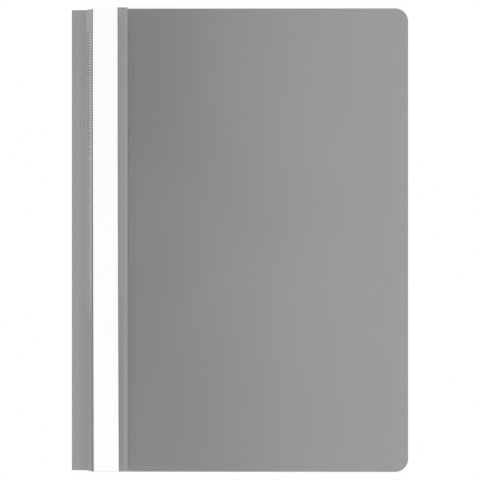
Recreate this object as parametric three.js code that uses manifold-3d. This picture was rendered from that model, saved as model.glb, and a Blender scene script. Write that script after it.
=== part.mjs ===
// A4 report folder for punched pages: an opaque plastic back cover whose spine side folds over into a
// flap, a clear front cover with a title strip pocket, and a two-prong metal fastener under the pocket.
// The folder lies closed on its back cover. Millimetres, +Z up, +Y towards the top of the pages.
// While it is modelled, x is measured from the spine fold and y from the middle of the back cover.

import * as THREE from 'three';
import { mergeVertices } from 'three/addons/utils/BufferGeometryUtils.js';
import Module from 'manifold-3d';

const wasm = await Module();
wasm.setup();

// Covers
const COVER_HEIGHT = 310;
const COVER_WIDTH = 225;
const CORNER_RADIUS = 8.7;
const BACK_FILM = 0.18;
const CLEAR_FILM = 0.12;
const FRONT_SHIFT_UP = 0.5;
const FILM_GAP = 0.08;
const COVER_GAP = 0.3;

// Spine margin, and the welded seam that holds the front cover to the flap
const SPINE_FOLD_RADIUS = 0.24;
const SPINE_END_RELIEF = 1;
const FLAP_END_RELIEF = 0.4;
const MARGIN_WIDTH = 9.1;
const SEAM_WIDTH = 5;
const SEAM_RISE = 1.6;
const SEAM_TAB = 0.2;
const SEAM_TAB_INSET = 0.55;

// The weld is a row of short pressed bars
const WELD_PITCH = 1.78;
const WELD_BAR_WIDTH = 0.8;
const WELD_BAR_LENGTH = 2;
const WELD_BAR_HEIGHT = 0.1;
const WELD_END_MARGIN = 4;
const WELD_FROM_TAB = 0.35;
const LABEL_WELD_FROM_EDGE = 3;

// Inner flap that carries the fastener
const FLAP_WIDTH = 36;
const FLAP_DROP_RUN = 4.5;

// Title strip pocket on the front cover
const LABEL_PAPER = 0.15;
const LABEL_INSET = 0.2;
const LABEL_WIDTH = 16.2;
const POCKET_WIDTH = 23.4;
const COVER_LIFT_RUN = 5.4;
const COVER_LANDING = 120;

// Fastener: hole spacing of the two-hole filing standard
const HOLE_SPACING = 80;
const FASTENER_X = 26;
const PRONG_WIDTH = 5;
const PRONG_THICKNESS = 0.3;
const PRONG_TIP_GAP = 8;
const PRONG_BEND_RADIUS = 0.4;
const BASE_GAP = 0.12;
const PRONG_SLACK = 0.6;

// Compressor bar
const BAR_OVERHANG = 18;
const BAR_WIDTH = 12;
const BAR_FLOOR = 0.8;
const BAR_RAIL = 0.65;
const BAR_RIM = 1;
const BAR_SEAT_GAP = 0.15;
const CHANNEL_CLEARANCE = 0.6;
const BRIDGE_SPACING = 44;
const BRIDGE_LENGTH = 7;
const BRIDGE_THICKNESS = 0.4;
const BRIDGE_LEG = 1.2;
const BRIDGE_GAP = 0.12;

const CURVE_STEPS = 6;
const DROOP_STEPS = 14;
const ARC_STEPS = 8;

// Plan positions that follow from the sizes above
const hingeX = MARGIN_WIDTH + SEAM_WIDTH;
const pocketEndX = hingeX + POCKET_WIDTH;
const halfHeight = COVER_HEIGHT / 2;
const frontLow = FRONT_SHIFT_UP - halfHeight;
const frontHigh = FRONT_SHIFT_UP + halfHeight;
const prongReach = (HOLE_SPACING - PRONG_TIP_GAP) / 2;
const channelHalf = (PRONG_WIDTH + CHANNEL_CLEARANCE) / 2;

// Levels that follow from the sizes above, from the table upwards
const marginLevel = BACK_FILM / 2 + 2 * SPINE_FOLD_RADIUS;
const seamTopLevel = marginLevel + SEAM_RISE;
const baseLevel = BACK_FILM + BASE_GAP + PRONG_THICKNESS / 2;
const flapLevel = baseLevel + PRONG_THICKNESS / 2 + BASE_GAP + BACK_FILM / 2;
const flapTop = flapLevel + BACK_FILM / 2;
const barBottom = flapTop + BAR_SEAT_GAP;
const channelFloor = barBottom + BAR_FLOOR;
const prongLevel = channelFloor + BRIDGE_GAP / 2 + PRONG_THICKNESS / 2;
const bridgeBottom = prongLevel + PRONG_THICKNESS / 2 + BRIDGE_GAP;
const bridgeTop = bridgeBottom + BRIDGE_THICKNESS;
const pocketFloorAtHinge = seamTopLevel + BACK_FILM / 2 + SEAM_TAB + COVER_GAP;
const pocketFloorOverBar = bridgeTop + COVER_GAP;
const labelBottom = BACK_FILM + FILM_GAP;
const clearBottom = labelBottom + LABEL_PAPER + FILM_GAP;
const landingLevel = BACK_FILM + COVER_GAP - clearBottom;
const aboveAll = pocketFloorAtHinge + pocketFloorOverBar;

const greyFilm = new THREE.MeshStandardMaterial({ color: 0x929292, roughness: 0.42, metalness: 0 });
const whitePaper = new THREE.MeshStandardMaterial({ color: 0xf7f7f5, roughness: 0.9, metalness: 0 });
const tinnedSteel = new THREE.MeshStandardMaterial({ color: 0xb9bcc0, roughness: 0.3, metalness: 1 });
const mouldedPlastic = new THREE.MeshStandardMaterial({ color: 0xeeeeec, roughness: 0.5, metalness: 0 });
const clearFilm = new THREE.MeshStandardMaterial({
  color: 0xe8ecee,
  roughness: 0.2,
  transparent: true,
  opacity: 0.35,
});

// Turns a closed geometry into a solid that can be joined and cut.
function toSolid(geometry) {
  const bare = geometry.clone();
  bare.deleteAttribute('normal');
  bare.deleteAttribute('uv');
  const merged = mergeVertices(bare);
  return new wasm.Manifold(new wasm.Mesh({
    numProp: 3,
    vertProperties: new Float32Array(merged.attributes.position.array),
    triVerts: new Uint32Array(merged.index.array),
  }));
}

function toGeometry(solid) {
  const mesh = solid.getMesh();
  const geometry = new THREE.BufferGeometry();
  geometry.setAttribute('position', new THREE.BufferAttribute(new Float32Array(mesh.vertProperties), 3));
  geometry.setIndex(new THREE.BufferAttribute(new Uint32Array(mesh.triVerts), 1));
  geometry.computeVertexNormals();
  return geometry;
}

// A section drawn in x and z, extruded along the page from yLow to yHigh.
function alongPage(section, yLow, yHigh) {
  const geometry = new THREE.ExtrudeGeometry(section, { depth: yHigh - yLow, bevelEnabled: false });
  geometry.rotateX(Math.PI / 2);
  geometry.translate(0, yHigh, 0);
  return toSolid(geometry);
}

// A section drawn in y and z, extruded across the width of a prong.
function acrossProng(section) {
  const geometry = new THREE.ExtrudeGeometry(section, { depth: PRONG_WIDTH, bevelEnabled: false });
  geometry.rotateX(Math.PI / 2);
  geometry.rotateZ(Math.PI / 2);
  geometry.translate(FASTENER_X - PRONG_WIDTH / 2, 0, 0);
  return toSolid(geometry);
}

// An outline drawn in x and y, extruded upwards.
function upright(outline, zLow, zHigh) {
  const options = { depth: zHigh - zLow, bevelEnabled: false, curveSegments: ARC_STEPS };
  const geometry = new THREE.ExtrudeGeometry(outline, options);
  geometry.translate(0, 0, zLow);
  return toSolid(geometry);
}

function block(xLow, xHigh, yLow, yHigh, zLow, zHigh) {
  const geometry = new THREE.BoxGeometry(xHigh - xLow, yHigh - yLow, zHigh - zLow);
  geometry.translate((xLow + xHigh) / 2, (yLow + yHigh) / 2, (zLow + zHigh) / 2);
  return toSolid(geometry);
}

// The section of a film that follows a line of points, from one offset to another beside the line.
function filmSection(line, low, high) {
  const beside = (offset) => line.map((point, i) => {
    const before = line[Math.max(i - 1, 0)];
    const after = line[Math.min(i + 1, line.length - 1)];
    const along = new THREE.Vector2().subVectors(after, before).normalize();
    return new THREE.Vector2(point.x - along.y * offset, point.y + along.x * offset);
  });
  return new THREE.Shape([...beside(low), ...beside(high).reverse()]);
}

// Points of a soft S-bend between two heights.
function easedRun(xFrom, zFrom, xTo, zTo, steps) {
  const points = [];
  for (let i = 0; i <= steps; i += 1) {
    const share = i / steps;
    const eased = (1 - Math.cos(Math.PI * share)) / 2;
    points.push(new THREE.Vector2(xFrom + (xTo - xFrom) * share, zFrom + (zTo - zFrom) * eased));
  }
  return points;
}

// The stretch of a line of points between two places, with its ends put in between the points.
function stretchOf(line, xFrom, xTo) {
  const pointAt = (x) => {
    const next = Math.max(1, line.findIndex((point) => point.x >= x));
    const [a, b] = [line[next - 1], line[next]];
    return new THREE.Vector2(x, a.y + (b.y - a.y) * (x - a.x) / (b.x - a.x));
  };
  const inside = line.filter((point) => point.x > xFrom && point.x < xTo);
  return [pointAt(xFrom), ...inside, pointAt(xTo)];
}

// Plan of a cover from xLow to the open edge, whose two corners are rounded.
function coverPlan(xLow, yLow, yHigh) {
  const arcX = COVER_WIDTH - CORNER_RADIUS;
  const plan = new THREE.Shape();
  plan.moveTo(xLow, yLow);
  plan.lineTo(arcX, yLow);
  plan.absarc(arcX, yLow + CORNER_RADIUS, CORNER_RADIUS, -Math.PI / 2, 0);
  plan.absarc(arcX, yHigh - CORNER_RADIUS, CORNER_RADIUS, 0, Math.PI / 2);
  plan.lineTo(xLow, yHigh);
  return plan;
}

// A row of short weld bars across a seam, standing on the film that follows the line.
function weldBars(line, xFrom, low, high) {
  const section = filmSection(stretchOf(line, xFrom, xFrom + WELD_BAR_LENGTH), low, high);
  const count = Math.floor((COVER_HEIGHT - 2 * WELD_END_MARGIN) / WELD_PITCH);
  const bars = [];
  for (let i = 0; i < count; i += 1) {
    const y = (i - (count - 1) / 2) * WELD_PITCH;
    bars.push(alongPage(section, y - WELD_BAR_WIDTH / 2, y + WELD_BAR_WIDTH / 2));
  }
  return wasm.Manifold.union(bars);
}

// The line of the welded seam: it rises from the margin to the hinge of the front cover.
const seamLine = easedRun(MARGIN_WIDTH, marginLevel, hingeX, seamTopLevel, CURVE_STEPS);

// The line that the front cover follows: up from the hinge, over the fastener, and down to the pages.
const frontLine = [
  ...easedRun(hingeX, pocketFloorAtHinge, hingeX + COVER_LIFT_RUN, pocketFloorOverBar, CURVE_STEPS),
  ...easedRun(pocketEndX, pocketFloorOverBar, COVER_LANDING, landingLevel, DROOP_STEPS),
  new THREE.Vector2(COVER_WIDTH + COVER_GAP, landingLevel),
];

// Back cover: one sheet of grey film. It runs from the open edge to the spine, folds over, rises at
// the welded seam and lies down again as the flap that carries the fastener.
function backCover() {
  const foldX = SPINE_FOLD_RADIUS + BACK_FILM / 2;
  const fold = [];
  for (let i = 0; i <= ARC_STEPS; i += 1) {
    const turn = -Math.PI / 2 - Math.PI * (i / ARC_STEPS);
    fold.push(new THREE.Vector2(
      foldX + SPINE_FOLD_RADIUS * Math.cos(turn),
      BACK_FILM / 2 + SPINE_FOLD_RADIUS * (1 + Math.sin(turn)),
    ));
  }
  const line = [
    new THREE.Vector2(COVER_WIDTH + COVER_GAP, BACK_FILM / 2),
    ...fold,
    ...seamLine,
    ...easedRun(hingeX, seamTopLevel, hingeX + FLAP_DROP_RUN, flapLevel, CURVE_STEPS).slice(1),
    new THREE.Vector2(FLAP_WIDTH, flapLevel),
  ];
  const sheet = alongPage(filmSection(line, -BACK_FILM / 2, BACK_FILM / 2), -halfHeight, halfHeight);

  const tabX = MARGIN_WIDTH + SEAM_TAB_INSET;
  const tabTop = BACK_FILM / 2 + SEAM_TAB;
  const tab = alongPage(filmSection(stretchOf(seamLine, tabX, hingeX), 0, tabTop), -halfHeight, halfHeight);
  const welds = weldBars(seamLine, tabX + WELD_FROM_TAB, 0, tabTop + WELD_BAR_HEIGHT);

  const slots = prongSlots(PRONG_SLACK, baseLevel, flapTop + PRONG_SLACK);
  return sheet
    .add(tab)
    .add(welds)
    .intersect(upright(coverPlan(-COVER_GAP, -halfHeight, halfHeight), -COVER_GAP, aboveAll))
    .subtract(spineRelief(1))
    .subtract(spineRelief(-1))
    .subtract(slots);
}

// The ends of the margin are cut a little short, and slant out across the seam to the ends of the flap.
function spineRelief(end) {
  const outside = end * (halfHeight + SPINE_END_RELIEF);
  const marginEnd = end * (halfHeight - SPINE_END_RELIEF);
  const flapEnd = end * (halfHeight - FLAP_END_RELIEF);
  const corner = new THREE.Shape();
  corner.moveTo(-SPINE_END_RELIEF, marginEnd);
  corner.lineTo(MARGIN_WIDTH, marginEnd);
  corner.lineTo(hingeX, flapEnd);
  corner.lineTo(hingeX, outside);
  corner.lineTo(-SPINE_END_RELIEF, outside);
  const flap = block(
    hingeX - FILM_GAP,
    FLAP_WIDTH + COVER_GAP,
    Math.min(flapEnd, outside),
    Math.max(flapEnd, outside),
    baseLevel,
    aboveAll,
  );
  return upright(corner, -COVER_GAP, aboveAll).add(flap);
}

// Two slots for the prongs, one page hole spacing apart.
function prongSlots(slack, zLow, zHigh) {
  const halfX = (PRONG_WIDTH + slack) / 2;
  const halfY = PRONG_THICKNESS / 2 + slack;
  const slot = (side) => {
    const y = side * HOLE_SPACING / 2;
    return block(FASTENER_X - halfX, FASTENER_X + halfX, y - halfY, y + halfY, zLow, zHigh);
  };
  return slot(-1).add(slot(1));
}

// Front cover: clear film, the outer skin of the pocket and the window over the pages.
function frontCover() {
  const line = stretchOf(frontLine, hingeX + FILM_GAP, COVER_WIDTH + FILM_GAP);
  const film = alongPage(filmSection(line, clearBottom, clearBottom + CLEAR_FILM), frontLow, frontHigh);
  return film.intersect(upright(coverPlan(hingeX, frontLow, frontHigh), 0, aboveAll));
}

// Pocket backing: a strip of the grey film, whose weld bars reach up to the clear film beside the slip.
function labelBacking() {
  const weldX = pocketEndX - LABEL_WELD_FROM_EDGE - WELD_BAR_LENGTH;
  const line = stretchOf(frontLine, hingeX + FILM_GAP, pocketEndX);
  const strip = alongPage(filmSection(line, 0, BACK_FILM), frontLow, frontHigh);
  return strip.add(weldBars(frontLine, weldX, BACK_FILM / 2, clearBottom - FILM_GAP));
}

// Title slip: white paper as long as the cover.
function labelInsert() {
  const from = hingeX + LABEL_INSET;
  const line = stretchOf(frontLine, from, from + LABEL_WIDTH);
  return alongPage(filmSection(line, labelBottom, labelBottom + LABEL_PAPER), frontLow, frontHigh);
}

// Fastener: one strip of tinned steel. Its base lies under the flap, and its two prongs come up
// through the flap and the bar, and are folded down towards each other.
function fastenerTongue() {
  const half = (side) => {
    const bend = (level, from, rise) => {
      const points = [];
      for (let i = 0; i <= CURVE_STEPS; i += 1) {
        const turn = from + (Math.PI / 2) * (i / CURVE_STEPS);
        const y = side * (HOLE_SPACING / 2 + PRONG_BEND_RADIUS * (Math.cos(turn) - 1));
        points.push(new THREE.Vector2(y, level + PRONG_BEND_RADIUS * (rise + Math.sin(turn))));
      }
      return points;
    };
    const line = [
      new THREE.Vector2(0, baseLevel),
      ...bend(baseLevel, -Math.PI / 2, 1),
      ...bend(prongLevel, 0, -1),
      new THREE.Vector2(side * (HOLE_SPACING / 2 - prongReach), prongLevel),
    ];
    return acrossProng(filmSection(line, -PRONG_THICKNESS / 2, PRONG_THICKNESS / 2));
  };
  return half(-1).add(half(1)).subtract(tipCorners(-1)).subtract(tipCorners(1));
}

// What is cut off a prong to round its tip.
function tipCorners(side) {
  const radius = PRONG_WIDTH / 2;
  const tip = side * (HOLE_SPACING / 2 - prongReach);
  const arcY = tip + side * radius;
  const before = tip - side * PRONG_THICKNESS;
  const beside = radius + PRONG_SLACK;
  const corners = new THREE.Shape();
  corners.moveTo(FASTENER_X - beside, before);
  corners.lineTo(FASTENER_X + beside, before);
  corners.lineTo(FASTENER_X + beside, arcY);
  for (let i = 0; i <= 2 * ARC_STEPS; i += 1) {
    const turn = Math.PI * (i / (2 * ARC_STEPS));
    corners.lineTo(FASTENER_X + radius * Math.cos(turn), arcY - side * radius * Math.sin(turn));
  }
  corners.lineTo(FASTENER_X - beside, arcY);
  return upright(corners, prongLevel - PRONG_THICKNESS, prongLevel + PRONG_THICKNESS);
}

// A bar outline with round ends, some way inside the bar's own outline.
function barPlan(inset) {
  const radius = BAR_WIDTH / 2 - inset;
  const arcY = HOLE_SPACING / 2 + BAR_OVERHANG - BAR_WIDTH / 2;
  const plan = new THREE.Shape();
  plan.absarc(FASTENER_X, arcY, radius, 0, Math.PI);
  plan.absarc(FASTENER_X, -arcY, radius, Math.PI, 2 * Math.PI);
  return plan;
}

// Compressor bar: a moulded tray with a raised rim, a slot at each prong, and two bridges on legs that
// hold the folded prongs down.
function compressorBar() {
  const railTop = channelFloor + BAR_RAIL;
  const blank = upright(barPlan(0), barBottom, railTop);
  const tray = upright(barPlan(BAR_RIM), channelFloor, aboveAll);
  const slots = prongSlots(CHANNEL_CLEARANCE, barBottom - BAR_FLOOR, channelFloor + BAR_FLOOR);
  return blank.subtract(tray).subtract(slots).add(bridge(-1)).add(bridge(1));
}

// One of the two bridges over the prongs.
function bridge(side) {
  const half = channelHalf + BRIDGE_LEG;
  const yLow = side * BRIDGE_SPACING / 2 - BRIDGE_LENGTH / 2;
  const yHigh = yLow + BRIDGE_LENGTH;
  const whole = block(FASTENER_X - half, FASTENER_X + half, yLow, yHigh, barBottom, bridgeTop);
  const way = block(
    FASTENER_X - channelHalf,
    FASTENER_X + channelHalf,
    yLow - BRIDGE_LEG,
    yHigh + BRIDGE_LEG,
    channelFloor,
    bridgeBottom,
  );
  return whole.subtract(way);
}

const folder = new THREE.Group();

function addPiece(name, solid, material) {
  const mesh = new THREE.Mesh(toGeometry(solid), material);
  mesh.name = name;
  folder.add(mesh);
}

addPiece('back_cover', backCover(), greyFilm);
addPiece('front_cover', frontCover(), clearFilm);
addPiece('label_backing', labelBacking(), greyFilm);
addPiece('label_insert', labelInsert(), whitePaper);
addPiece('fastener_tongue', fastenerTongue(), tinnedSteel);
addPiece('compressor_bar', compressorBar(), mouldedPlastic);

// The origin is under the middle of the folder's box.
folder.position.set(-COVER_WIDTH / 2, -FRONT_SHIFT_UP / 2, 0);

export default folder;
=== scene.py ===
import bpy
import bmesh
import math
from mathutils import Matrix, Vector


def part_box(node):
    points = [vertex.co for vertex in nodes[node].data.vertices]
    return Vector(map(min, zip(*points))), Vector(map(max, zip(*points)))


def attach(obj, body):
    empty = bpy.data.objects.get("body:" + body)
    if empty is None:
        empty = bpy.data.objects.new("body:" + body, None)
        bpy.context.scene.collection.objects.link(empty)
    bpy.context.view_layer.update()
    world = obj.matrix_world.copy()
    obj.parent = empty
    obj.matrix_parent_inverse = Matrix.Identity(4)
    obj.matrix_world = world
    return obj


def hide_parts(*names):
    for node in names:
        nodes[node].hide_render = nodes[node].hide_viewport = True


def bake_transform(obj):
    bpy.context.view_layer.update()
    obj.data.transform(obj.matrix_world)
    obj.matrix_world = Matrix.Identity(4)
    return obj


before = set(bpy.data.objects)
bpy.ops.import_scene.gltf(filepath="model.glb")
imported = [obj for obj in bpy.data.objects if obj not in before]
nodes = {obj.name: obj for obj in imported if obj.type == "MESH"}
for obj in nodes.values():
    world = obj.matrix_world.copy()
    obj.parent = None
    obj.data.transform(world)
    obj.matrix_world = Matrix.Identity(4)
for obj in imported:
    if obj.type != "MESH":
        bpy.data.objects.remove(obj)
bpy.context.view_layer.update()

# Back cover: one sheet of opaque grey polypropylene, folded over at the spine. The face that shows
# on the margin and the seam is matt from the calender rolls, and the face inside the folder is
# smoother and darker. The hot bars of the welding tool have pressed a row of dashes into it, which
# are darkened with painted shade. The seam, the crease, the fold and the margin of the outer face,
# and the page area inside, carry painted light and shade.
mm = 0.001
back_low, back_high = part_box("back_cover")
spine_x = back_low.x
middle_y = (back_low.y + back_high.y) / 2

# Across the folder, measured from the spine.
fold_line = (0.1 * mm, 0.7 * mm)
margin_curl = (0.0, 3.2 * mm)
margin_light = (2.5 * mm, 9 * mm)
inside_from = (6 * mm, 8 * mm)
seam_zone = (9.7 * mm, 13.5 * mm)
seam_dashes = (10.15 * mm, 11.5 * mm)
seam_glint_band = (11.75 * mm, 12.55 * mm)
seam_crease = (13.5 * mm, 14.2 * mm)
beside_pocket = (50 * mm, 110 * mm)

# Along the spine, measured from its middle.
weld_pitch = 1.78 * mm
weld_dash = 0.8 * mm
weld_foot = (-60 * mm, -25 * mm)
weld_top = (137 * mm, 145 * mm)
crease_shade_fade = (-20 * mm, 90 * mm)
dim_lower = (-150 * mm, -60 * mm)
dim_upper = (10 * mm, 70 * mm)

# Above the table.
inner_face = (0.1 * mm, 0.4 * mm)
outer_face = (0.3 * mm, 0.42 * mm)

# How soft the marks end, and how high the surface stands in them.
face_soft = 0.05 * mm
dash_soft = 0.2 * mm
crease_soft = 0.25 * mm
seam_soft = 0.3 * mm
curl_height = 0.2 * mm
grain_height = 0.02 * mm
dash_depth = -3.0

# Tones: the grey of each face, and how much each mark adds to it or takes from it. The seam, the
# glints, the margin and the page area get painted light, and the crease, the fold, the dashes and
# the page area painted shade.
outer_greys = (0.223, 0.244)
inner_greys = (0.186, 0.202)
film_roughness = (0.42, 0.5)
inside_smoother = -0.12
margin_tone = 0.95
margin_painted_light = 0.09
seam_painted_light = 0.48
dash_painted_shade = -0.95
glint_painted_light = 0.7
glint_balance = 0.39
crease_painted_shade = -0.36
crease_shade_left = 0.1
fold_painted_shade = -0.18
dim_lower_by = 0.06
dim_upper_by = 0.075
inner_painted_light_and_shade = (
    ((60 * mm, 170 * mm), 1.0, 1.27),
    ((37.3 * mm, 41.5 * mm), 1.46, 1.0),
    ((185 * mm, 222 * mm), 1.0, 0.95),
)
noise_span = (0.3, 0.7)
drift_scale, drift_part = 9.0, 0.6
grain_scale, grain_part = 2400.0, 0.4
patch_scale = 45.0


def wire(tree, value, socket):
    """Joins an output to a socket, or sets the socket to a number."""
    if isinstance(value, (int, float)):
        socket.default_value = value
    else:
        tree.links.new(value, socket)


def new_material(name):
    material = bpy.data.materials.new(name)
    material.use_nodes = True
    tree = material.node_tree
    tree.nodes.clear()
    return material, tree, tree.nodes.new("ShaderNodeOutputMaterial")


def plain_material(name):
    """A material of one Principled shader."""
    material, tree, output = new_material(name)
    shader = tree.nodes.new("ShaderNodeBsdfPrincipled")
    wire(tree, shader.outputs["BSDF"], output.inputs["Surface"])
    return material, tree, shader


def worked_out(tree, operation, *values):
    """A Math node on values that are numbers or sockets."""
    node = tree.nodes.new("ShaderNodeMath")
    node.operation = operation
    for socket, value in zip(node.inputs, values):
        wire(tree, value, socket)
    return node.outputs[0]


def times(tree, first, second):
    return worked_out(tree, "MULTIPLY", first, second)


def with_marks(tree, tone, *marks):
    """A tone with marks on it: where a mark is 1, its amount is added to the tone."""
    for mark, amount in marks:
        tone = worked_out(tree, "MULTIPLY_ADD", mark, amount, tone)
    return tone


def place_on_piece(tree):
    return tree.nodes.new("ShaderNodeTexCoord").outputs["Object"]


def measured(tree, place, axis, start=0.0):
    """The distance of a place from a start, along one axis."""
    parts = tree.nodes.new("ShaderNodeSeparateXYZ")
    wire(tree, place, parts.inputs["Vector"])
    return worked_out(tree, "SUBTRACT", parts.outputs[axis], start)


def cloud(tree, place, scale, detail=2.0, stretch=(1, 1, 1)):
    mapping = tree.nodes.new("ShaderNodeMapping")
    mapping.inputs["Scale"].default_value = stretch
    wire(tree, place, mapping.inputs["Vector"])
    texture = tree.nodes.new("ShaderNodeTexNoise")
    texture.inputs["Scale"].default_value = scale
    texture.inputs["Detail"].default_value = detail
    wire(tree, mapping.outputs["Vector"], texture.inputs["Vector"])
    return texture.outputs["Fac"]


def film_mottle(tree, place):
    """The slow drift of the film's tone, its fine grain, and the two together."""
    drift = cloud(tree, place, drift_scale, 3.0)
    grain = cloud(tree, place, grain_scale, 3.0)
    both = times(tree, drift, drift_part), times(tree, grain, grain_part)
    return drift, grain, worked_out(tree, "ADD", *both)


def rescale(tree, value, span, to_low=0.0, to_high=1.0):
    """Goes softly from one number to another while the value crosses a span."""
    node = tree.nodes.new("ShaderNodeMapRange")
    node.interpolation_type = "SMOOTHSTEP"
    node.inputs["From Min"].default_value = span[0]
    node.inputs["From Max"].default_value = span[1]
    node.inputs["To Min"].default_value = to_low
    node.inputs["To Max"].default_value = to_high
    wire(tree, value, node.inputs["Value"])
    return node.outputs["Result"]


def band(tree, value, span, soft):
    """1 inside the span, falling to 0 over a soft distance outside it."""
    rise = rescale(tree, value, (span[0] - soft, span[0]))
    fall = rescale(tree, value, (span[1], span[1] + soft), 1.0, 0.0)
    return times(tree, rise, fall)


def weld_row(tree, along, shift=0.0):
    """1 on each weld dash of a row and 0 between them."""
    turn = worked_out(tree, "MULTIPLY_ADD", along, 1 / weld_pitch, 0.5 + shift)
    from_middle = worked_out(tree, "SUBTRACT", worked_out(tree, "FRACT", turn), 0.5)
    half_dash = weld_dash / weld_pitch / 2
    dash_rim = (half_dash * 0.6, half_dash * 1.3)
    return rescale(tree, worked_out(tree, "ABSOLUTE", from_middle), dash_rim, 1.0, 0.0)


def weld_pressure(tree, place, firm):
    """How firmly the tool has pressed along a seam: well where firm is 1, faintly elsewhere."""
    patchy = rescale(tree, cloud(tree, place, patch_scale, 1.0), noise_span, 0.75, 1.0)
    return times(tree, with_marks(tree, 0.15, (firm, 0.85)), patchy)


def bumped(tree, height, distance, strength=1.0, over=None):
    """The normal of a relief, which may lie over another one."""
    node = tree.nodes.new("ShaderNodeBump")
    node.inputs["Distance"].default_value = distance
    node.inputs["Strength"].default_value = strength
    wire(tree, height, node.inputs["Height"])
    if over is not None:
        wire(tree, over, node.inputs["Normal"])
    return node.outputs["Normal"]


def colour_mix(tree, factor):
    node = tree.nodes.new("ShaderNodeMix")
    node.data_type = "RGBA"
    wire(tree, factor, node.inputs["Factor"])
    return node


def greys(tree, factor, tones):
    node = colour_mix(tree, factor)
    for name, tone in zip("AB", tones):
        node.inputs[name].default_value = (tone, tone, tone, 1)
    return node.outputs["Result"]


def shaded(tree, colour, shade):
    """A colour darkened where shade is under 1 and lightened where it is over 1."""
    node = tree.nodes.new("ShaderNodeVectorMath")
    node.operation = "SCALE"
    wire(tree, colour, node.inputs["Vector"])
    wire(tree, shade, node.inputs["Scale"])
    return node.outputs["Vector"]


def coat_with(piece, material):
    piece.data.materials.clear()
    piece.data.materials.append(material)


def back_cover_material():
    material, tree, shader = plain_material("grey_cover_film")
    place = place_on_piece(tree)
    across = measured(tree, place, "X", spine_x)
    along = measured(tree, place, "Y", middle_y)
    height = measured(tree, place, "Z")
    drift, grain, mottle = film_mottle(tree, place)
    outside = rescale(tree, height, outer_face)
    inside = band(tree, height, inner_face, face_soft)
    inside = times(tree, inside, rescale(tree, across, inside_from))

    # The weld: pressed dashes darkened with painted shade, and beside them painted glints, lighter
    # dots level with the gaps between the dashes.
    upper = rescale(tree, along, weld_foot)
    firm = times(tree, upper, rescale(tree, along, weld_top, 1.0, 0.0))
    pressure = times(tree, weld_pressure(tree, place, firm), outside)
    dashes = times(tree, band(tree, across, seam_dashes, dash_soft), weld_row(tree, along))
    pressed = times(tree, dashes, pressure)
    # Painted glints: lighter dots level with the gaps between the dashes, a little darker level
    # with the dashes.
    staggered_glints = worked_out(tree, "SUBTRACT", weld_row(tree, along, 0.5), glint_balance)
    painted_glints = times(tree, band(tree, across, seam_glint_band, seam_soft), staggered_glints)
    painted_glint_marks = times(tree, painted_glints, pressure)

    # Painted light and shade: the seam around the weld is painted lighter, the crease beside it and
    # the fold at the spine are painted darker, and the curled margin is painted lighter towards the
    # spine.
    seam_light_strength = times(tree, with_marks(tree, 0.2, (upper, 0.8)), outside)
    painted_seam_light = times(tree, band(tree, across, seam_zone, seam_soft), seam_light_strength)
    painted_shade_line = times(tree, band(tree, across, seam_crease, crease_soft), outside)
    painted_shade_line = times(tree, painted_shade_line, rescale(tree, along, crease_shade_fade, 1.0, crease_shade_left))
    painted_fold_shade = rescale(tree, across, fold_line, 1.0, 0.0)
    painted_margin_light = rescale(tree, across, margin_light, margin_painted_light, 0.0)
    shade = with_marks(
        tree,
        margin_tone,
        (painted_margin_light, outside),
        (painted_seam_light, seam_painted_light),
        (pressed, dash_painted_shade),
        (painted_glint_marks, glint_painted_light),
        (painted_shade_line, crease_painted_shade),
        (painted_fold_shade, fold_painted_shade),
    )
    outer = shaded(tree, greys(tree, mottle, outer_greys), shade)

    # The page area, painted light and shade: lighter beside the pocket against the shadow of its
    # edge, lighter towards the open edge and a touch darker right at it, dimmer at the upper left.
    inner = greys(tree, mottle, inner_greys)
    for span, near_spine, near_open_edge in inner_painted_light_and_shade:
        inner = shaded(tree, inner, rescale(tree, across, span, near_spine, near_open_edge))
    dimness_above = rescale(tree, along, dim_upper, 0.0, dim_upper_by)
    dimness_below = rescale(tree, along, dim_lower, 0.0, dim_lower_by)
    painted_dimness = worked_out(tree, "ADD", dimness_above, dimness_below)
    painted_dimming_near_pocket = rescale(tree, across, beside_pocket, -1.0, 0.0)
    inner = shaded(tree, inner, with_marks(tree, 1.0, (painted_dimness, painted_dimming_near_pocket)))

    face = colour_mix(tree, inside)
    wire(tree, outer, face.inputs["A"])
    wire(tree, inner, face.inputs["B"])
    wire(tree, face.outputs["Result"], shader.inputs["Base Color"])
    roughness = rescale(tree, drift, noise_span, *film_roughness)
    roughness = with_marks(tree, roughness, (inside, inside_smoother))
    wire(tree, roughness, shader.inputs["Roughness"])
    curl = bumped(tree, times(tree, rescale(tree, across, margin_curl), outside), curl_height)
    relief = with_marks(tree, grain, (pressed, dash_depth))
    wire(tree, bumped(tree, relief, grain_height, 0.7, over=curl), shader.inputs["Normal"])
    return material


coat_with(nodes["back_cover"], back_cover_material())

# Fastener: a strip of tinned steel whose two prongs come up through the flap and lie folded in the
# bar. It is bright, with faint rolling marks along the strip.
rolled_along_strip = (1, 0.02, 1)


def tinned_steel_material():
    material, tree, shader = plain_material("tinned_steel")
    shader.inputs["Metallic"].default_value = 1.0
    marks = cloud(tree, place_on_piece(tree), 900.0, 2.0, rolled_along_strip)
    wire(tree, greys(tree, marks, (0.56, 0.68)), shader.inputs["Base Color"])
    wire(tree, rescale(tree, marks, noise_span, 0.2, 0.36), shader.inputs["Roughness"])
    wire(tree, bumped(tree, marks, 0.01 * mm, 0.4), shader.inputs["Normal"])
    return material


coat_with(nodes["fastener_tongue"], tinned_steel_material())

# Compressor bar: injection moulded white plastic with a spark-eroded grain, a shallow tray with a
# rim and two bridges that hold the prongs down.


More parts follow.
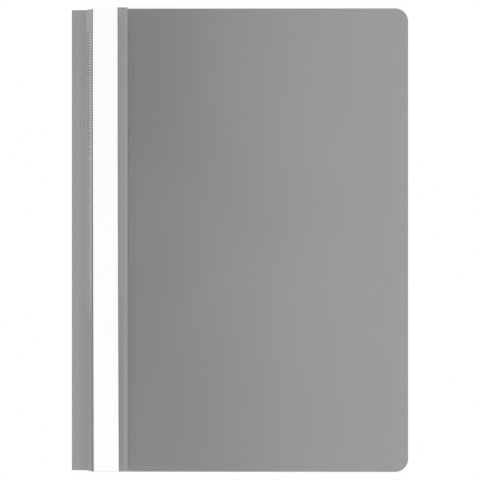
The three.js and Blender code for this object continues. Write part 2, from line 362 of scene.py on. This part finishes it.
def moulded_plastic_material():
    material, tree, shader = plain_material("moulded_white_plastic")
    shader.inputs["Subsurface Weight"].default_value = 0.08
    shader.inputs["Subsurface Scale"].default_value = 0.6 * mm
    grain = cloud(tree, place_on_piece(tree), 3500.0, 2.0)
    wire(tree, greys(tree, grain, (0.72, 0.78)), shader.inputs["Base Color"])
    wire(tree, rescale(tree, grain, noise_span, 0.38, 0.5), shader.inputs["Roughness"])
    wire(tree, bumped(tree, grain, 0.015 * mm, 0.5), shader.inputs["Normal"])
    return material


coat_with(nodes["compressor_bar"], moulded_plastic_material())

# Title strip pocket: a backing of the same grey film, welded to the clear film along both sides,
# with a row of weld dashes that shows towards the foot. Beside the slip runs a painted shadow that
# slants with the slip's edge, and along the pocket's rim a faint painted highlight.
slip_low, slip_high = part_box("label_insert")
slip_slant = 0.85 * mm
slip_edge = slip_high.x - spine_x
slip_shadow_band = (slip_edge + 0.3 * mm, slip_edge + 0.85 * mm)
pocket_dashes = (32.5 * mm, 34.5 * mm)
pocket_rim = (36.2 * mm, 37.0 * mm)
pocket_weld_top = (-50 * mm, -30 * mm)
pocket_dash_soft = 0.6 * mm
slip_shadow_soft = 0.15 * mm
pocket_greys = (0.256, 0.28)
pocket_dashes_darker = -0.28
slip_painted_shadow = -0.42
pocket_rim_painted_highlight = 0.03


def label_backing_material():
    material, tree, shader = plain_material("grey_pocket_film")
    place = place_on_piece(tree)
    across = measured(tree, place, "X", spine_x)
    along = measured(tree, place, "Y", middle_y)
    drift, grain, mottle = film_mottle(tree, place)
    firm = rescale(tree, along, pocket_weld_top, 1.0, 0.0)
    dashes = band(tree, across, pocket_dashes, pocket_dash_soft)
    dashes = times(tree, dashes, weld_row(tree, along))
    pressed = times(tree, dashes, weld_pressure(tree, place, firm))
    slip_length = slip_high.y - slip_low.y
    towards_foot = worked_out(tree, "MULTIPLY_ADD", along, -1 / slip_length, 0.5)
    slant = times(tree, worked_out(tree, "POWER", towards_foot, 2.0), slip_slant)
    painted_shade_line = worked_out(tree, "SUBTRACT", across, slant)
    painted_shade_line = band(tree, painted_shade_line, slip_shadow_band, slip_shadow_soft)
    # Painted shade and light: the dark line is the painted shadow beside the slip's edge, and the
    # lighter band the painted highlight on the pocket's rim.
    shade = with_marks(
        tree,
        1.0,
        (pressed, pocket_dashes_darker),
        (painted_shade_line, slip_painted_shadow),
        (band(tree, across, pocket_rim, seam_soft), pocket_rim_painted_highlight),
    )
    colour = shaded(tree, greys(tree, mottle, pocket_greys), shade)
    wire(tree, colour, shader.inputs["Base Color"])
    wire(tree, rescale(tree, drift, noise_span, *film_roughness), shader.inputs["Roughness"])
    wire(tree, bumped(tree, grain, grain_height, 0.6), shader.inputs["Normal"])
    return material


coat_with(nodes["label_backing"], label_backing_material())

# Front cover: one sheet of clear polypropylene. Its tab lies welded on the seam, it bends up over
# the title strip pocket, and then sinks to the back cover in a long soft curve.
front_low, front_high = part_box("front_cover")
film = 0.12 * mm
tab_edge = 9.65 * mm
tab_lift = 0.47 * mm
tab_ends_at = 12.2 * mm
tab_relief, tab_relief_lost = 1.05 * mm, 0.6 * mm
seam_start, seam_end = 9.1 * mm, 14.1 * mm
seam_low, seam_high = 0.57 * mm, 2.17 * mm
hinge_from, hinge_to = 13.5 * mm, 14.7 * mm
pocket_at_hinge = 3.31 * mm
pocket_top = front_high.z - film / 2
pocket_flat_from, pocket_flat_to = 19.5 * mm, 37.5 * mm
landing_from = 120 * mm
landing = front_low.z + film / 2
corner = 8.7 * mm
cover_width = front_high.x - spine_x
ripple = 0.1 * mm


def eased(x, x_from, x_to, z_from, z_to):
    share = min(max((x - x_from) / (x_to - x_from), 0.0), 1.0)
    return z_from + (z_to - z_from) * (1 - math.cos(math.pi * share)) / 2


def film_height(x):
    """The level of the film's middle at a distance x from the spine."""
    if x < tab_ends_at:
        return eased(x, seam_start, seam_end, seam_low, seam_high) + tab_lift
    if x < seam_end:
        start = eased(tab_ends_at, seam_start, seam_end, seam_low, seam_high) + tab_lift
        share = (x - tab_ends_at) / (seam_end - tab_ends_at)
        return start + (pocket_at_hinge - start) * share
    if x < pocket_flat_to:
        return eased(x, seam_end, pocket_flat_from, pocket_at_hinge, pocket_top)
    return eased(x, pocket_flat_to, landing_from, pocket_top, landing)


def film_ends(x):
    """The lowest and highest y of the film at a distance x from the spine."""
    if x < seam_end:
        share = max((x - seam_start) / (seam_end - seam_start), 0.0)
        cut = tab_relief - tab_relief_lost * share
        return back_low.y + cut, back_high.y - cut
    over = max(x - (cover_width - corner), 0.0)
    cut = corner - math.sqrt(max(corner * corner - over * over, 0.0))
    return front_low.y + cut, front_high.y - cut


def film_ripple(x, y):
    """The waviness of the loose film, none at the pocket and none where it has landed."""
    loose = min(max((x - pocket_flat_to) / (landing_from - pocket_flat_to), 0.0), 1.0)
    wave = math.sin(41 * y + 9 * x) * math.sin(23 * x + 3 * y) + 1
    return ripple * loose * (1 - loose) * 2 * wave


def stations(x_from, x_to, count):
    return [x_from + (x_to - x_from) * i / count for i in range(count)]


def round_stations(x_from, x_to, count):
    """Stations that crowd towards x_to, as even steps round a corner do."""
    quarter = math.pi / 2
    return [x_from + (x_to - x_from) * math.sin(quarter * i / count) for i in range(count + 1)]


def placed(name, shape):
    """Makes a bmesh an object of the scene."""
    mesh = bpy.data.meshes.new(name)
    shape.to_mesh(mesh)
    shape.free()
    piece = bpy.data.objects.new(name, mesh)
    bpy.context.scene.collection.objects.link(piece)
    return piece


def finished_sheet(name, shape, thickness):
    """Gives a curved grid its thickness, with smooth faces and sharp cut edges."""
    bmesh.ops.recalc_face_normals(shape, faces=shape.faces)
    if sum(face.normal.z for face in shape.faces) < 0:
        bmesh.ops.reverse_faces(shape, faces=shape.faces)
    bmesh.ops.solidify(shape, geom=shape.faces[:], thickness=-thickness)
    bmesh.ops.recalc_face_normals(shape, faces=shape.faces)
    for face in shape.faces:
        face.smooth = abs(face.normal.z) > 0.3
    for edge in shape.edges:
        edge.smooth = all(face.smooth for face in edge.link_faces)
    return placed(name, shape)


columns = (
    stations(tab_edge, hinge_from, 10)
    + stations(hinge_from, hinge_to, 24)
    + stations(hinge_to, pocket_flat_from, 12)
    + stations(pocket_flat_from, pocket_flat_to, 6)
    + stations(pocket_flat_to, landing_from, 44)
    + stations(landing_from, cover_width - corner, 20)
    + round_stations(cover_width - corner, cover_width, 14)
)
last_column = len(columns) - 1
rows = 48

sheet = bmesh.new()
bmesh.ops.create_grid(sheet, x_segments=last_column, y_segments=rows, size=0.5)
for vertex in sheet.verts:
    x = columns[round((vertex.co.x + 0.5) * last_column)]
    low, high = film_ends(x)
    y = low + (high - low) * (vertex.co.y + 0.5)
    z = film_height(x) + film_ripple(x, y)
    vertex.co = Vector((spine_x + x, y, z - film / 2))
front_film = finished_sheet("front_film", sheet, film)
for face in front_film.data.polygons:
    face.material_index = 0 if face.use_smooth else 1

clear_tint = (0.972, 0.973, 0.974, 1)
haze_tint = (0.6, 0.6, 0.6, 1)
haze_share = 0.01
film_gloss = (0.16, 0.24)
weld_ends = (13.1 * mm, 13.9 * mm)
weld_rougher = 0.3
weld_duller = -0.8
mirror_square_on = 0.018
mirror_aslant = 0.9


def layered(tree, share, under, over):
    """A shader with a share of another one over it."""
    node = tree.nodes.new("ShaderNodeMixShader")
    wire(tree, share, node.inputs["Fac"])
    wire(tree, under, node.inputs[1])
    wire(tree, over, node.inputs[2])
    return node.outputs["Shader"]


def clear_film_material():
    material, tree, output = new_material("clear_film")
    see_through = tree.nodes.new("ShaderNodeBsdfTransparent")
    see_through.inputs["Color"].default_value = clear_tint
    gloss = tree.nodes.new("ShaderNodeBsdfPrincipled")
    gloss.inputs["Base Color"].default_value = (1, 1, 1, 1)
    gloss.inputs["Metallic"].default_value = 1.0
    haze = tree.nodes.new("ShaderNodeBsdfPrincipled")
    haze.inputs["Base Color"].default_value = haze_tint
    haze.inputs["Roughness"].default_value = 0.6
    place = place_on_piece(tree)
    across = measured(tree, place, "X", spine_x)
    wave = cloud(tree, place, 14.0, 2.0)
    welded = rescale(tree, across, weld_ends, 1.0, 0.0)
    roughness = rescale(tree, wave, noise_span, *film_gloss)
    roughness = with_marks(tree, roughness, (welded, weld_rougher))
    wire(tree, roughness, gloss.inputs["Roughness"])
    wire(tree, bumped(tree, wave, 0.3 * mm, 0.25), gloss.inputs["Normal"])
    facing = tree.nodes.new("ShaderNodeLayerWeight").outputs["Facing"]
    aslant = worked_out(tree, "POWER", facing, 5.0)
    mirror = with_marks(tree, mirror_square_on, (aslant, mirror_aslant))
    mirror = times(tree, mirror, with_marks(tree, 1.0, (welded, weld_duller)))
    hazed = layered(tree, haze_share, see_through.outputs["BSDF"], haze.outputs["BSDF"])
    glossy = layered(tree, mirror, hazed, gloss.outputs["BSDF"])
    wire(tree, glossy, output.inputs["Surface"])
    return material


def cut_edge_material():
    """The cut edge of the sheet, which gathers light and shows as a thin grey line."""
    material, tree, shader = plain_material("clear_film_edge")
    shader.inputs["Base Color"].default_value = (0.42, 0.43, 0.44, 1)
    shader.inputs["Roughness"].default_value = 0.3
    shader.inputs["Alpha"].default_value = 0.75
    return material


coat_with(front_film, clear_film_material())
front_film.data.materials.append(cut_edge_material())
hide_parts("front_cover")
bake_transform(front_film)

# Title slip: plain white office paper as long as the folder, cut by hand a little aslant, so that
# it leans to the open edge at its foot. It is slid in between the backing and the clear film.
slip_left, slip_left_foot = slip_low.x + 0.02 * mm, slip_low.x + 0.72 * mm
slip_right, slip_right_foot = slip_high.x + 0.3 * mm, slip_high.x + 0.3 * mm + slip_slant
slip_under_film = 0.215 * mm
paper_thickness = 0.15 * mm
fibre_stretch = (1, 0.6, 1)


def paper_material():
    material, tree, shader = plain_material("white_paper")
    shader.inputs["Specular IOR Level"].default_value = 0.25
    fibre = cloud(tree, place_on_piece(tree), 1800.0, 5.0, fibre_stretch)
    wire(tree, greys(tree, fibre, (0.92, 0.95)), shader.inputs["Base Color"])
    wire(tree, rescale(tree, fibre, noise_span, 0.8, 0.95), shader.inputs["Roughness"])
    wire(tree, bumped(tree, fibre, 0.02 * mm, 0.5), shader.inputs["Normal"])
    return material


slip_shape = bmesh.new()
bmesh.ops.create_grid(slip_shape, x_segments=18, y_segments=24, size=0.5)
for vertex in slip_shape.verts:
    towards_foot = (0.5 - vertex.co.y) ** 2
    left = slip_left + (slip_left_foot - slip_left) * towards_foot
    right = slip_right + (slip_right_foot - slip_right) * towards_foot
    x = left + (right - left) * (vertex.co.x + 0.5)
    y = slip_low.y + (slip_high.y - slip_low.y) * (vertex.co.y + 0.5)
    z = film_height(x - spine_x) - slip_under_film - paper_thickness / 2
    vertex.co = Vector((x, y, z))
title_slip = finished_sheet("title_slip", slip_shape, paper_thickness)
coat_with(title_slip, paper_material())
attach(title_slip, "front")
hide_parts("label_insert")

# Table: a plain white top that the folder lies on. It is pure white to the camera and in gloss, and
# throws soft light back on the folder as pale paint does.
table_half_width = 3.0
table_gap = 0.2 * mm


def floor_material():
    material, tree, output = new_material("floor")
    shader = tree.nodes.new("ShaderNodeBsdfPrincipled")
    shader.inputs["Base Color"].default_value = (0.86, 0.86, 0.86, 1)
    shader.inputs["Roughness"].default_value = 0.9
    white = tree.nodes.new("ShaderNodeEmission")
    path = tree.nodes.new("ShaderNodeLightPath")
    rays = (path.outputs["Is Camera Ray"], path.outputs["Is Glossy Ray"])
    seen = worked_out(tree, "MAXIMUM", *rays)
    top = layered(tree, seen, shader.outputs["BSDF"], white.outputs["Emission"])
    wire(tree, top, output.inputs["Surface"])
    return material


floor_shape = bmesh.new()
bmesh.ops.create_grid(floor_shape, x_segments=1, y_segments=1, size=table_half_width)
bmesh.ops.translate(floor_shape, verts=floor_shape.verts, vec=(0, 0, -table_gap))
floor = placed("floor", floor_shape)
coat_with(floor, floor_material())

# Light: a soft even sky, a wide diffuser on the spine side, and one above the open edge that
# mirrors in the clear film.
world = bpy.data.worlds.new("studio")
world.use_nodes = True
sky = world.node_tree.nodes["Background"]
sky.inputs["Color"].default_value = (1, 1, 1, 1)
sky.inputs["Strength"].default_value = 0.84
bpy.context.scene.world = world


def diffuser(name, place, aim, size, power):
    light = bpy.data.lights.new(name, "AREA")
    light.shape = "RECTANGLE"
    light.size, light.size_y = size
    light.energy = power
    lamp = bpy.data.objects.new(name, light)
    lamp.location = place
    lamp.rotation_euler = (Vector(aim) - Vector(place)).to_track_quat("-Z", "Y").to_euler()
    bpy.context.scene.collection.objects.link(lamp)


diffuser("diffuser_left", (-1.3, -0.5, 1.1), (0, 0, 0), (0.8, 1.2), 7.0)
diffuser("diffuser_right", (0.75, 0.0, 1.35), (0.05, 0, 0), (1.3, 1.2), 8.0)

# Camera: square above the folder with a long lens, turned a little to the open edge. It takes in as
# much width as the photograph does.
camera_height = 1.25
view_width = 0.3213
camera_turn = math.radians(0.5)
camera_right, camera_down = 0.07 * mm, 0.14 * mm
sensor_width = 36.0
camera_data = bpy.data.cameras.new("camera")
camera_data.sensor_width = sensor_width
camera_data.lens = sensor_width * camera_height / view_width
camera = bpy.data.objects.new("camera", camera_data)
camera.location = (
    camera_height * math.sin(camera_turn) + camera_right,
    -camera_down,
    camera_height * math.cos(camera_turn),
)
camera.rotation_euler = (0, camera_turn, 0)
bpy.context.scene.collection.objects.link(camera)
bpy.context.scene.camera = camera

bpy.context.scene.view_settings.view_transform = "Standard"
